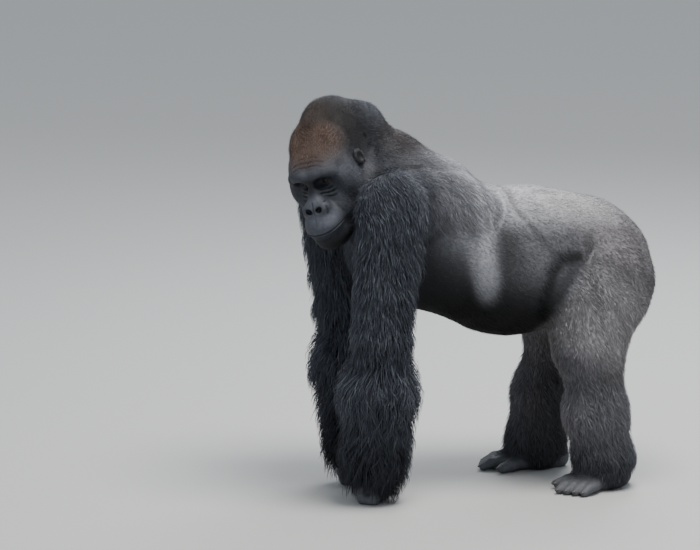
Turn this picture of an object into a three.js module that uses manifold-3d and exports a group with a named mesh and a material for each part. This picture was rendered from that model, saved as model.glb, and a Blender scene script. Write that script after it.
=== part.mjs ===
// A western lowland gorilla silverback, life size, on its knuckles and soles, its head turned to its left.
// Millimetres, +Z up. The nose end of the body is towards -X and the animal's right side towards +Y.
// The origin is on the floor under the middle of the body. The solids reach out to the tips of the coat.
//
// Flesh is described by distance functions: rounded muscles and egg-shaped masses that melt into one another.
// A capsule's skin is pushed out from a bone until it meets the flesh, and the result is parted with thin cuts.
import * as THREE from "three";
import { mergeVertices } from "three/addons/utils/BufferGeometryUtils.js";
import Module from "manifold-3d";

const wasm = await Module();
wasm.setup();

// ---- Driving dimensions -------------------------------------------------------------------------------------
const GAP = 0.35; // between solids that meet
const STEP = 5; // how finely a ray is walked on its way out through the flesh
const HALF_SPACE = 3000; // side of the box that cuts a solid off at a plane

const LEFT = -1; // the animal's left is towards -Y
const RIGHT = 1;

const at = (x, y, z) => new THREE.Vector3(x, y, z);

// ---- Flesh: distance functions, negative inside -------------------------------------------------------------

// A round muscle or bone from a to b, with radius ra at a and rb at b.
function muscle(a, b, ra, rb) {
  const along = b.clone().sub(a);
  const lengthSq = along.lengthSq();
  const from = new THREE.Vector3();
  return (p) => {
    from.subVectors(p, a);
    const share = THREE.MathUtils.clamp(from.dot(along) / lengthSq, 0, 1);
    return from.addScaledVector(along, -share).length() - THREE.MathUtils.lerp(ra, rb, share);
  };
}

// An egg-shaped mass about a centre, with three half sizes, turned by degrees about X, Y and Z.
function mass(centre, half, turn = [0, 0, 0]) {
  const angles = turn.map(THREE.MathUtils.degToRad);
  const back = new THREE.Quaternion().setFromEuler(new THREE.Euler(...angles, "ZYX")).invert();
  const q = new THREE.Vector3();
  return (p) => {
    q.subVectors(p, centre).applyQuaternion(back);
    const near = Math.hypot(q.x / half.x, q.y / half.y, q.z / half.z);
    const steep = Math.hypot(q.x / half.x ** 2, q.y / half.y ** 2, q.z / half.z ** 2);
    return steep < 1e-9 ? -Math.min(half.x, half.y, half.z) : (near * (near - 1)) / steep;
  };
}

function smoothLeast(a, b, soft) {
  const overlap = Math.max(soft - Math.abs(a - b), 0) / soft;
  return Math.min(a, b) - overlap * overlap * soft * 0.25;
}

// Forms that melt into one another over a width of `soft`.
const blend = (soft, forms) => (p) => forms.reduce((d, form) => smoothLeast(d, form(p), soft), 1e6);

// A form with hollows pressed into it.
const hollowed = (soft, form, hollows) => (p) =>
  hollows.reduce((d, hollow) => -smoothLeast(-d, hollow(p), soft), form(p));

// A form measured from another frame.
function seenFrom(frame, form) {
  const q = new THREE.Vector3();
  return (p) => form(q.copy(p).applyMatrix4(frame));
}

// ---- Solids -------------------------------------------------------------------------------------------------

// A closed mesh as a manifold-3d solid, without the faces that collapse at a capsule's poles.
function solid(geometry) {
  const bare = geometry.clone();
  bare.deleteAttribute("normal");
  bare.deleteAttribute("uv");
  const merged = mergeVertices(bare, 1e-3);
  const corners = merged.index.array;
  const kept = [];
  for (let i = 0; i < corners.length; i += 3) {
    const [a, b, c] = corners.slice(i, i + 3);
    if (a !== b && b !== c && c !== a) kept.push(a, b, c);
  }
  const vertProperties = merged.attributes.position.array;
  return new wasm.Manifold(new wasm.Mesh({ numProp: 3, vertProperties, triVerts: new Uint32Array(kept) }));
}

// A capsule round a bone, each point pushed straight out until it leaves the flesh, or as far as `reach`.
// `round` faces go round it, `long` along it and `caps` over each end. A positive `swell` makes it that much larger.
function wrap(flesh, bone, { round, long, caps, reach, swell = 0 }) {
  const geometry = new THREE.CapsuleGeometry(1, long, caps, round, long);
  const frames = bone.computeFrenetFrames(long);
  const place = geometry.attributes.position;
  const centre = new THREE.Vector3();
  const out = new THREE.Vector3();
  const probe = new THREE.Vector3();
  const outside = (r) => flesh(probe.copy(centre).addScaledVector(out, r)) > swell;
  for (let i = 0; i < place.count; i++) {
    const height = place.getY(i) + long / 2;
    const ring = THREE.MathUtils.clamp(Math.round(height), 0, long);
    bone.getPointAt(ring / long, centre);
    out.set(0, 0, 0);
    out.addScaledVector(frames.binormals[ring], place.getX(i));
    out.addScaledVector(frames.tangents[ring], height - THREE.MathUtils.clamp(height, 0, long));
    out.addScaledVector(frames.normals[ring], place.getZ(i));
    out.normalize();
    let low = 0;
    while (low < reach && !outside(low + STEP)) low += STEP;
    let high = low + STEP;
    while (high - low > 0.01) {
      const middle = (low + high) / 2;
      if (outside(middle)) high = middle;
      else low = middle;
    }
    probe.copy(centre).addScaledVector(out, low);
    place.setXYZ(i, probe.x, probe.y, probe.z);
  }
  const made = solid(geometry);
  if (made.volume() > 0) return made;
  throw new Error("a wrapped capsule is inside out");
}

// The same capsule twice: the solid, and a slightly larger one that clears its neighbours.
const wrapPair = (flesh, bone, facets) => ({
  body: wrap(flesh, bone, facets),
  clearance: wrap(flesh, bone, { ...facets, swell: GAP }),
});

const bent = (...points) => new THREE.CatmullRomCurve3(points);

// What lies beyond a plane, half a gap away from it.
function beyond(point, normal) {
  const facing = normal.clone().normalize();
  const box = new THREE.BoxGeometry(HALF_SPACE, HALF_SPACE, HALF_SPACE);
  box.applyQuaternion(new THREE.Quaternion().setFromUnitVectors(at(0, 0, 1), facing));
  const middle = point.clone().addScaledVector(facing, HALF_SPACE / 2 - GAP / 2);
  box.translate(middle.x, middle.y, middle.z);
  return solid(box);
}

// A solid parted by a thin cut: first the piece on the side the normal points away from, then the other.
const parted = (whole, point, normal) => [
  whole.subtract(beyond(point, normal)),
  whole.subtract(beyond(point, normal.clone().negate())),
];

const largest = (whole) => whole.decompose().sort((a, b) => b.volume() - a.volume())[0];

const UNDER_FLOOR = beyond(at(0, 0, -GAP / 2), at(0, 0, -1));

// ---- The model's group --------------------------------------------------------------------------------------
const gorilla = new THREE.Group();

const finishes = {
  black_coat: new THREE.MeshStandardMaterial({ color: 0x1b1b1e, roughness: 0.85 }),
  silver_coat: new THREE.MeshStandardMaterial({ color: 0x6b6b70, roughness: 0.8 }),
  grey_coat: new THREE.MeshStandardMaterial({ color: 0x3a3a3d, roughness: 0.85 }),
  brown_coat: new THREE.MeshStandardMaterial({ color: 0x3d2f29, roughness: 0.85 }),
  bare_skin: new THREE.MeshStandardMaterial({ color: 0x2c2d31, roughness: 0.5 }),
  eye: new THREE.MeshStandardMaterial({ color: 0x2a1608, roughness: 0.1 }),
  nail: new THREE.MeshStandardMaterial({ color: 0x3c3a3a, roughness: 0.4 }),
};

function show(name, body, finish) {
  const mesh = body.getMesh();
  const count = mesh.numVert;
  const places = new Float32Array(count * 3);
  for (let i = 0; i < count; i++) {
    places.set(mesh.vertProperties.subarray(i * mesh.numProp, i * mesh.numProp + 3), i * 3);
  }
  const geometry = new THREE.BufferGeometry();
  geometry.setAttribute("position", new THREE.BufferAttribute(places, 3));
  geometry.setIndex(new THREE.BufferAttribute(mesh.triVerts, 1));
  geometry.computeVertexNormals();
  const node = new THREE.Mesh(geometry, finishes[finish]);
  node.name = name;
  gorilla.add(node);
}

// ---- Trunk: chest, belly and rump ---------------------------------------------------------------------------
const trunkFlesh = blend(70, [
  mass(at(-165, 0, 805), at(250, 232, 232)), // rib cage
  mass(at(-190, 0, 935), at(175, 150, 135), [0, 14, 0]), // withers and trapezius
  mass(at(-165, -125, 900), at(190, 105, 140), [0, 12, 0]), // left shoulder blade
  mass(at(-165, 125, 900), at(190, 105, 140), [0, 12, 0]), // right shoulder blade
  muscle(at(-285, -140, 925), at(-285, 140, 925), 132, 132), // collar and shoulder girdle
  mass(at(-320, -85, 760), at(105, 105, 130)), // left breast
  mass(at(-320, 85, 760), at(105, 105, 130)), // right breast
  mass(at(85, 0, 722), at(290, 268, 243)), // belly
  mass(at(225, 0, 800), at(205, 180, 150)), // loins
  mass(at(362, 0, 748), at(165, 185, 162)), // pelvis
  mass(at(415, -84, 690), at(130, 106, 150)), // left buttock
  mass(at(415, 84, 690), at(130, 106, 150)), // right buttock
]);
const spine = bent(at(-290, 0, 800), at(-120, 0, 800), at(90, 0, 730), at(270, 0, 735), at(400, 0, 725));
const trunk = wrapPair(trunkFlesh, spine, { round: 24, long: 11, caps: 4, reach: 420 });
const LAST_RIB = at(10, 0, 760);
const LOIN = at(285, 0, 760);
const [chest, behindRibs] = parted(trunk.body, LAST_RIB, at(1, 0, -0.25));
const [belly, rump] = parted(behindRibs, LOIN, at(1, 0, 0.3));

// ---- Head, in its own frame: the nose points to -X, the ears lie on the Y axis --------------------------------
const HEAD_PLACE = at(-494, -26, 1046);
const HEAD_TURN = 53; // to the animal's left
const HEAD_NOD = 14; // nose down
const HEAD_TILT = 16; // left ear up

const headFrame = new THREE.Matrix4()
  .makeTranslation(HEAD_PLACE)
  .multiply(new THREE.Matrix4().makeRotationZ(THREE.MathUtils.degToRad(HEAD_TURN)))
  .multiply(new THREE.Matrix4().makeRotationY(THREE.MathUtils.degToRad(-HEAD_NOD)))
  .multiply(new THREE.Matrix4().makeRotationX(THREE.MathUtils.degToRad(-HEAD_TILT)));
const intoHead = headFrame.clone().invert();
const headAt = (x, y, z) => at(x, y, z).applyMatrix4(headFrame);
const onBothSides = (make) => [make(LEFT), make(RIGHT)];

const EYE_PLACE = at(-132, 36, 20);
const EYE_RADIUS = 12;
const EAR_PLACE = at(-18, 116, 34);

const headFlesh = hollowed(
  9,
  blend(24, [
    mass(at(20, 0, 70), at(115, 96, 100)), // brain case
    mass(at(60, 0, 122), at(126, 90, 105), [0, 18, 0]), // crest and its fat pad
    ...onBothSides((s) => mass(at(-12, 60 * s, 82), at(98, 45, 93))), // temple
    muscle(at(-152, -22, 54), at(-152, 22, 54), 20, 20), // brow over the nose
    ...onBothSides((s) => muscle(at(-152, 24 * s, 55), at(-108, 84 * s, 42), 20, 19)), // brow
    mass(at(-85, 0, 60), at(70, 72, 55)), // forehead behind the brow
    mass(at(-105, 0, -20), at(64, 64, 80)), // middle of the face
    ...onBothSides((s) => mass(at(-72, 75 * s, -4), at(54, 38, 60))), // cheekbone
    ...onBothSides((s) => mass(at(-95, 52 * s, -75), at(62, 42, 62))), // cheek
    mass(at(-168, 0, -100), at(64, 66, 58)), // muzzle
    muscle(at(-152, 0, 30), at(-186, 0, -32), 17, 24), // bridge of the nose
    ...onBothSides((s) => mass(at(-198, 22 * s, -52), at(23, 24, 20))), // wing of the nose
    mass(at(-196, 0, -112), at(40, 58, 34)), // upper lip
    mass(at(-172, 0, -158), at(50, 50, 40)), // lower lip and chin
    ...onBothSides((s) => muscle(at(-145, 24 * s, -158), at(0, 74 * s, -100), 36, 44)), // jawbone
    ...onBothSides((s) => mass(at(-25, 80 * s, -45), at(66, 36, 85))), // chewing muscle
    mass(at(-40, 0, -115), at(100, 66, 66)), // throat
  ]),
  [
    ...onBothSides((s) => mass(at(-160, 38 * s, 19), at(25, 23, 14))), // eye socket
    ...onBothSides((s) => mass(at(-220, 15 * s, -52), at(14, 11, 9))), // nostril
  ],
);

// ---- Neck: a thick column whose nape runs straight up to the crest of the skull -----------------------------
const neckFlesh = blend(60, [
  mass(at(-378, 55, 1092), at(114, 105, 171)), // nape hump
  mass(at(-265, 25, 1000), at(110, 110, 118)), // hump between the shoulder blades
  muscle(at(-385, 50, 1070), at(-190, 0, 930), 105, 165), // top of the neck
  muscle(headAt(10, 0, -60), at(-310, 0, 860), 80, 125), // throat
  muscle(headAt(80, -20, 5), at(-230, -125, 960), 70, 90), // left side
  muscle(headAt(80, 20, 5), at(-230, 125, 960), 70, 90), // right side
]);
const NAPE_CUT = headAt(62, 0, 0);
const NAPE_SLOPE = at(1, 0, -0.35).transformDirection(headFrame);

const headBone = new THREE.LineCurve3(at(45, 0, 85), at(-115, 0, -85));
const headAndNape = blend(45, [headFlesh, seenFrom(headFrame, neckFlesh)]);
const HEAD_FACETS = { round: 30, long: 11, caps: 5, reach: 260 };
const wrappedHead = wrap(headAndNape, headBone, HEAD_FACETS);
const placed = (body) => body.transform(headFrame.elements);
const eyeball = (side, radius) => {
  const ball = new THREE.SphereGeometry(radius, 12, 7);
  return placed(solid(ball.translate(EYE_PLACE.x, EYE_PLACE.y * side, EYE_PLACE.z)));
};
const eyeSockets = eyeball(LEFT, EYE_RADIUS + GAP).add(eyeball(RIGHT, EYE_RADIUS + GAP));
const wholeHead = placed(wrappedHead).subtract(eyeSockets).subtract(trunk.clearance);
const beforeNape = largest(parted(wholeHead, NAPE_CUT, NAPE_SLOPE)[0]);
const MOUTH = headAt(-228, 0, -126);
const MOUTH_SLOPE = at(-0.12, 0, -1).transformDirection(headFrame);
const [skull, jaw] = parted(beforeNape, MOUTH, MOUTH_SLOPE);
const headClearance = placed(wrap(headAndNape, headBone, { ...HEAD_FACETS, swell: GAP }));

const neckBone = new THREE.LineCurve3(headAt(30, 0, 20), at(-250, 0, 900));
const neckAndHead = blend(45, [neckFlesh, seenFrom(intoHead, headFlesh)]);
const neckFacets = { round: 20, long: 5, caps: 3, reach: 260 };
const wholeNeck = wrapPair(neckAndHead, neckBone, neckFacets);
const [, behindHead] = parted(wholeNeck.body, NAPE_CUT, NAPE_SLOPE);
const neck = largest(behindHead.subtract(trunk.clearance));

// ---- Ears: a cupped leaf with a rolled rim -------------------------------------------------------------------
function ear(side) {
  const centre = at(EAR_PLACE.x, EAR_PLACE.y * side, EAR_PLACE.z);
  const shift = (x, y, z) => at(centre.x + x, centre.y + y * side, centre.z + z);
  const flesh = hollowed(4, mass(centre, at(24, 12, 33), [14 * side, 0, 26 * side]), [
    mass(shift(-6, 11, 2), at(14, 9, 22), [14 * side, 0, 26 * side]),
  ]);
  const bone = new THREE.LineCurve3(shift(0, -4, -12), shift(0, -4, 12));
  const leaf = placed(wrap(flesh, bone, { round: 10, long: 3, caps: 2, reach: 45 }));
  return largest(leaf.subtract(headClearance));
}

// ---- Arms ---------------------------------------------------------------------------------------------------
const WRIST_RADIUS = 122; // with its long hair
const ARM_PIT = at(-235, 0, 800);
const arms = {
  left: {
    side: LEFT,
    shoulder: at(-372, -232, 950),
    elbow: at(-400, -265, 545),
    wrist: at(-404, -195, 165),
    knuckles: at(-392, -188, 0),
  },
  right: {
    side: RIGHT,
    shoulder: at(-440, 224, 962),
    elbow: at(-398, 218, 545),
    wrist: at(-392, 80, 165),
    knuckles: at(-376, 48, 0),
  },
};

function armOf({ side, shoulder, elbow, wrist }) {
  const near = (joint, x, y, z) => at(joint.x + x, joint.y + y * side, joint.z + z);
  const midForearm = elbow.clone().lerp(wrist, 0.45);
  const flesh = blend(45, [
    mass(near(shoulder, 8, 5, 12), at(114, 98, 118)), // shoulder cap
    muscle(near(shoulder, 0, 5, -60), near(elbow, 0, 0, 30), 112, 106), // upper arm
    muscle(near(shoulder, 60, -40, -60), near(elbow, 25, -5, 150), 90, 72), // triceps and arm pit
    muscle(elbow, midForearm, 108, 128), // forearm under its shaggy coat
    muscle(midForearm, wrist, 128, WRIST_RADIUS),
    trunkFlesh,
    neckFlesh,
  ]);
  const bone = bent(near(shoulder, 0, 0, 20), near(elbow, 0, 0, 0), wrist);
  const whole = wrap(flesh, bone, { round: 13, long: 9, caps: 2, reach: 190 });
  const [outer] = parted(whole, ARM_PIT, at(1, 0, 0.2));
  const clear = outer.subtract(trunk.clearance).subtract(wholeNeck.clearance).subtract(headClearance);
  const [upper, lower] = parted(largest(clear), elbow, at(0, 0, -1));
  const [forearm] = parted(lower, wrist, at(0, 0, -1));
  return { upper, forearm };
}

// ---- Legs ---------------------------------------------------------------------------------------------------
const MIDLINE = at(0, 0, 0);
const HIP_TOP = at(395, 0, 815);
const GROIN = at(232, 0, 540);
const legs = {
  left: {
    side: LEFT,
    hip: at(395, -118, 660),
    knee: at(318, -190, 405),
    ankle: at(362, -172, 95),
    turn: 29,
    front: [at(300, -140, 600), at(285, -185, 470), 130, 105], // the muscle down the front of the thigh
  },
  right: {
    side: RIGHT,
    hip: at(395, 118, 660),
    knee: at(305, 175, 400),
    ankle: at(234, 165, 95),
    turn: 4,
    front: [at(320, 140, 600), at(282, 165, 470), 112, 88],
  },
};

function legOf({ side, hip, knee, ankle, front }) {
  const near = (joint, x, y, z) => at(joint.x + x, joint.y + y * side, joint.z + z);
  const calf = knee.clone().lerp(ankle, 0.5);
  const flesh = blend(45, [
    mass(near(hip, 0, 15, 0), at(148, 112, 150)), // hip and buttock
    muscle(near(hip, -25, 15, -80), near(knee, 0, 0, 30), 128, 98), // thigh
    muscle(...front),
    muscle(knee, near(calf, -8, 0, 0), 98, 104), // knee and calf
    muscle(near(calf, -8, 0, 0), ankle, 104, 101),
    trunkFlesh,
  ]);
  const bone = bent(near(hip, 0, 0, 20), knee, ankle);
  const whole = wrap(flesh, bone, { round: 13, long: 9, caps: 2, reach: 210 });
  const [belowHip] = parted(whole, HIP_TOP, at(0.2, 0, 1));
  const [, ownSide] = parted(belowHip, MIDLINE, at(0, side, 0));
  const [behindGroin] = parted(ownSide, GROIN, at(-1, 0, 0.25));
  const [thigh, lower] = parted(largest(behindGroin.subtract(trunk.clearance)), knee, at(-0.1, 0, -1));
  const [shank] = parted(lower, ankle, at(0, 0, -1));
  return { thigh, shank };
}

// ---- Hands: knuckles on the floor, fingers folded back under the palm, long hair hanging round them ----------
const FINGER_RADIUS = 17;
const FINGER_PITCH = 33;
const HAND_TURN = 35; // the row of knuckles, its outer end backwards
const CUFF_RADIUS = 112; // of the hair half way down the hand
const HEM_RADIUS = 94; // of the hair where it ends
const HEM_HEIGHT = 34;
const DIGIT_FACETS = { round: 6, long: 3, caps: 1, reach: 60 };

function handOf({ side, wrist, knuckles }) {
  const frame = new THREE.Matrix4()
    .makeTranslation(knuckles)
    .multiply(new THREE.Matrix4().makeRotationZ(THREE.MathUtils.degToRad(HAND_TURN * side)));
  const here = (x, y, z) => at(x, y * side, z).applyMatrix4(frame);
  const onTheWay = (share) => wrist.clone().lerp(knuckles, share);
  const hair = blend(20, [
    muscle(wrist, onTheWay(0.4), WRIST_RADIUS, CUFF_RADIUS),
    muscle(onTheWay(0.4), onTheWay(0.75), CUFF_RADIUS, HEM_RADIUS),
  ]);
  const cuff = wrap(hair, new THREE.LineCurve3(wrist, onTheWay(0.6)), { round: 14, long: 3, caps: 3, reach: 190 });
  let body = parted(cuff, knuckles.clone().setZ(HEM_HEIGHT), at(-0.15, 0, -1))[0];
  for (let i = 0; i < 4; i++) {
    const y = (i - 1.5) * FINGER_PITCH;
    const long = i === 1 || i === 2 ? 6 : 0;
    const joints = [here(-22, y, 80), here(-48 - long, y, 44), here(-34, y, 16), here(4, y, 14), here(14, y, 40)];
    const bones = joints.slice(1).map((joint, k) => muscle(joints[k], joint, FINGER_RADIUS + 1, FINGER_RADIUS));
    body = body.add(wrap(blend(6, bones), bent(...joints), DIGIT_FACETS));
  }
  return parted(body.subtract(UNDER_FLOOR), wrist, at(0, 0, 1))[0];
}

// A nail: a flattened bead at a toe's tip.
function nail(tip, wide, turn) {
  const bead = new THREE.SphereGeometry(1, 6, 4).scale(wide * 1.1, wide, wide * 0.55);
  bead.rotateY(-0.5).rotateZ(turn);
  return solid(bead.translate(tip.x, tip.y, tip.z));
}

// ---- Feet: flat soles, the great toe standing off to the inner side -------------------------------------------
function footOf({ side, ankle, turn }) {
  const heading = THREE.MathUtils.degToRad(-turn * side);
  const frame = new THREE.Matrix4()
    .makeTranslation(ankle.x, ankle.y, 0)
    .multiply(new THREE.Matrix4().makeRotationZ(heading));
  const here = (x, y, z) => at(x, y * side, z).applyMatrix4(frame);
  const sole = blend(22, [
    muscle(here(0, 0, 95), here(14, 0, 55), 90, 66), // ankle and its hair
    mass(here(70, 0, 30), at(45, 38, 42)), // heel
    mass(here(-20, 4, 36), at(88, 48, 48)), // instep
    mass(here(-92, 10, 24), at(48, 56, 34)), // ball of the foot
  ]);
  const soleBone = new THREE.LineCurve3(here(52, 0, 36), here(-90, 8, 26));
  let body = wrap(sole, soleBone, { round: 12, long: 5, caps: 2, reach: 120 });
  for (let i = 0; i < 4; i++) {
    const y = -22 + i * 26;
    const tip = -190 + i * 9;
    const toe = [here(-100, y, 30), here(tip + 40, y * 1.08, 25), here(tip + 12, y * 1.1, 13)];
    const flesh = blend(6, [muscle(toe[0], toe[1], 18, 16), muscle(toe[1], toe[2], 16, 14)]);
    body = body.add(wrap(flesh, bent(...toe), DIGIT_FACETS)).add(nail(here(tip + 2, y * 1.1, 19), 9, heading));
  }
  const great = [here(-48, -34, 32), here(-92, -66, 24), here(-126, -80, 17)];
  const greatFlesh = blend(8, [muscle(great[0], great[1], 25, 20), muscle(great[1], great[2], 20, 17)]);
  body = body.add(wrap(greatFlesh, bent(...great), DIGIT_FACETS)).add(nail(here(-138, -84, 24), 13, heading));
  return parted(body.subtract(UNDER_FLOOR), ankle, at(0, 0, 1))[0];
}

// ---- Assembly -----------------------------------------------------------------------------------------------
show("chest", chest, "silver_coat");
show("belly", belly, "silver_coat");
show("rump", rump, "grey_coat");
show("neck", neck, "grey_coat");
show("head", skull, "brown_coat");
show("lower_jaw", jaw, "bare_skin");
for (const [name, side] of [["left", LEFT], ["right", RIGHT]]) {
  show(`eye_${name}`, eyeball(side, EYE_RADIUS), "eye");
  show(`ear_${name}`, ear(side), "bare_skin");
  const { upper, forearm } = armOf(arms[name]);
  show(`upper_arm_${name}`, upper, "black_coat");
  show(`forearm_${name}`, forearm, "black_coat");
  show(`hand_${name}`, handOf(arms[name]), "bare_skin");
  const { thigh, shank } = legOf(legs[name]);
  show(`thigh_${name}`, thigh, "grey_coat");
  show(`shank_${name}`, shank, "grey_coat");
  show(`foot_${name}`, footOf(legs[name]), "bare_skin");
}

const extent = new THREE.Box3().setFromObject(gorilla);
const middle = extent.getCenter(new THREE.Vector3());
gorilla.position.set(-middle.x, -middle.y, -extent.min.z);

export default gorilla;
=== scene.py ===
import math

import bmesh
import bpy
import numpy as np
from mathutils import Euler, Matrix, Vector


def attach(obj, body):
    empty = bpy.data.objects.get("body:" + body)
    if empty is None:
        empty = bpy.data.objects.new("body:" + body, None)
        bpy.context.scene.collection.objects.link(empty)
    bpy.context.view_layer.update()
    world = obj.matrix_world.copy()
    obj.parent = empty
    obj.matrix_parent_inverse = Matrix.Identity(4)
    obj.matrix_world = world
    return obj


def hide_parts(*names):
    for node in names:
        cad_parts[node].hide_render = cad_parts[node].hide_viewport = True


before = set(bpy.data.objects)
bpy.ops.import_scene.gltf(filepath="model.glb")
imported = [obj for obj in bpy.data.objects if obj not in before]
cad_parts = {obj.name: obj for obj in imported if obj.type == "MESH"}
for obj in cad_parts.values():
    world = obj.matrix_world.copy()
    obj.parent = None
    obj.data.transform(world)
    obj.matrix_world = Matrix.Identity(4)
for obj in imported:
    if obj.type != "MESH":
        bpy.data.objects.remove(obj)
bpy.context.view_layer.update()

# ---- Skin ----
# One hide over the whole animal, cast over its bones and muscles and modelled finer on the face, ears, hands
# and feet. Rounded muscles and egg-shaped masses swell into one another, each sunk by its coat's depth.
# Lengths are millimetres from the part's own origin until a mesh is made, then metres in the frame.
ORIGIN = np.array([50.703, 17.663, 0.0])  # the part's own origin, in the frame
MM = 0.001
LEFT, RIGHT = -1, 1
BOTH = (LEFT, RIGHT)


def to_frame(points):
    return (np.asarray(points) + ORIGIN) * MM


def unit(vectors):
    return vectors / np.maximum(np.linalg.norm(vectors, axis=-1, keepdims=True), 1e-9)


def smooth_step(low, high, values):
    share = np.clip((values - low) / (high - low), 0, 1)
    return share * share * (3 - 2 * share)


def smooth_least(a, b, soft):
    overlap = np.maximum(soft - np.abs(a - b), 0) / soft
    return np.minimum(a, b) - overlap * overlap * soft * 0.25


class Coat:
    """How the hair of one part grows: its depth over the skin, its length, how many degrees it stands up, the
    width of a lock, the way it lies, how far it bends back to the body, hangs and strays."""

    def __init__(self, depth, length, lift, width, lie, bend=0.4, hang=0.0, stray=0.15):
        self.depth = depth
        self.traits = [depth, length, lift, width, bend, hang, stray]
        self.lie = unit(np.array(lie, float))

    def lying(self, lie):
        depth, length, lift, width, bend, hang, stray = self.traits
        return Coat(depth, length, lift, width, lie, bend, hang, stray)


class Muscle:
    def __init__(self, start, end, start_radius, end_radius, coat):
        self.start, self.end = np.array(start, float), np.array(end, float)
        self.radii = start_radius - coat.depth, end_radius - coat.depth
        self.coat = coat

    def distance(self, p):
        along = self.end - self.start
        share = np.clip((p - self.start) @ along / (along @ along), 0, 1)
        radius = self.radii[0] + share * (self.radii[1] - self.radii[0])
        return np.linalg.norm(p - self.start - share[:, None] * along, axis=1) - radius

    def cast(self, ball):
        ahead = (ball @ (self.end - self.start) > 0)[:, None]
        return np.where(ahead, self.end + ball * self.radii[1], self.start + ball * self.radii[0])


class Mass:
    def __init__(self, centre, half, coat, turn=(0, 0, 0)):
        self.centre, self.half = np.array(centre, float), np.array(half, float) - coat.depth
        self.turn = np.array(Euler([math.radians(a) for a in turn], "XYZ").to_matrix())
        self.coat = coat

    def distance(self, p):
        q = (p - self.centre) @ self.turn
        near = np.linalg.norm(q / self.half, axis=1)
        steep = np.linalg.norm(q / self.half**2, axis=1)
        return near * (near - 1) / np.maximum(steep, 1e-9)

    def cast(self, ball):
        return self.centre + (ball * self.half) @ self.turn.T


REGION_MARGIN = 110  # further than this from its corners a region has no say in the skin


class Region:
    """Forms that melt into one another by `soft` and into the rest of the body by `melt`, with hollows whose
    edges are rounded by `press`."""

    def __init__(self, name, soft, melt, forms, hollows=(), press=9, turn=np.eye(3), place=(0, 0, 0)):
        self.name, self.soft, self.melt, self.forms = name, soft, melt, forms
        self.hollows, self.press = hollows, press
        self.turn, self.place = turn, np.array(place, float)
        corners = unit(np.array([[x, y, z] for x in BOTH for y in BOTH for z in BOTH]))
        shell = self.outward(np.concatenate([form.cast(corners) for form in forms]))
        self.middle = (shell.min(0) + shell.max(0)) / 2
        self.reach = np.linalg.norm(shell - self.middle, axis=1).max() + REGION_MARGIN

    def inward(self, p):
        return (p - self.place) @ self.turn

    def outward(self, p):
        return np.asarray(p) @ self.turn.T + self.place

    def distance(self, p):
        q = self.inward(p)
        d = np.full(len(q), 1e6)
        for form in self.forms:
            d = smooth_least(d, form.distance(q), self.soft)
        for hollow in self.hollows:
            d = -smooth_least(-d, hollow.distance(q), self.press)
        return d


BARE = Coat(0.5, 4, 20, 0.8, (1, 0, 0))

# Trunk: ribs, shoulder blades, belly, loins and rump. The hair runs back along it and down its sides.
BACK = Coat(5, 15, 16, 1.7, (1, 0, -0.35), bend=0.6, stray=0.2)
RUMP = Coat(7, 19, 22, 1.7, (1, 0, -0.8), bend=0.5, stray=0.2)
FLANK = Coat(6, 19, 16, 1.8, (1, 0, -0.7), bend=0.5, stray=0.2)
CHEST = Coat(12, 34, 20, 2.2, (0.3, 0, -1), hang=0.1)
SHOULDER = Coat(14, 36, 22, 2.0, (0.3, 0, -0.8), bend=0.5, hang=0.1)
trunk = Region(
    "trunk",
    soft=70,
    melt=45,
    forms=[
        Mass((-165, 0, 805), (250, 232, 232), BACK),
        Mass((-215, 0, 920), (155, 150, 128), BACK, (0, 14, 0)),
        *[
            Mass((-165, 125 * s, 900), (190, 105, 140), SHOULDER.lying((0.5, 0.4 * s, -0.8)), (0, 12, 0))
            for s in BOTH
        ],
        Muscle((-285, -140, 925), (-285, 140, 925), 132, 132, SHOULDER),
        *[Mass((-320, 85 * s, 760), (105, 105, 130), CHEST) for s in BOTH],
        Mass((85, 0, 722), (290, 268, 243), FLANK),
        Mass((222, 0, 794), (205, 180, 148), BACK),
        Mass((362, 0, 748), (165, 185, 162), RUMP),
        *[Mass((415, 84 * s, 690), (130, 106, 150), RUMP) for s in BOTH],
    ],
)

# Head, in its own frame: the nose points to -X, the ears lie on the Y axis.
HEAD_PLACE = (-494, -26, 1046)
HEAD_TURN, HEAD_NOD, HEAD_TILT = 53, 14, 16
head_turn = np.array(
    Matrix.Rotation(math.radians(HEAD_TURN), 3, "Z")
    @ Matrix.Rotation(math.radians(-HEAD_NOD), 3, "Y")
    @ Matrix.Rotation(math.radians(-HEAD_TILT), 3, "X")
)
EYE = np.array([-132.0, 36.0, 20.0])
EYE_RADIUS = 12.0
LID = 2.2
EAR = np.array([-18.0, 116.0, 34.0])
CROWN = Coat(7, 12, 30, 1.5, (1, 0, 0.25), bend=0.5, stray=0.3)
BROW_TOP = Coat(3, 8, 24, 1.2, (0.4, 0, 1), stray=0.3)
TEMPLE = Coat(6, 12, 26, 1.5, (1, 0, 0.15), stray=0.3)
CHEEK = Coat(3, 12, 20, 1.2, (1, 0.2, -0.7), stray=0.25)
JAW = Coat(6, 18, 22, 1.5, (0.8, 0, -1))
THROAT = Coat(10, 30, 22, 2.0, (0.4, 0, -1))
CHIN = Coat(2, 9, 20, 1.1, (0.5, 0, -1), stray=0.3)
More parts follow.
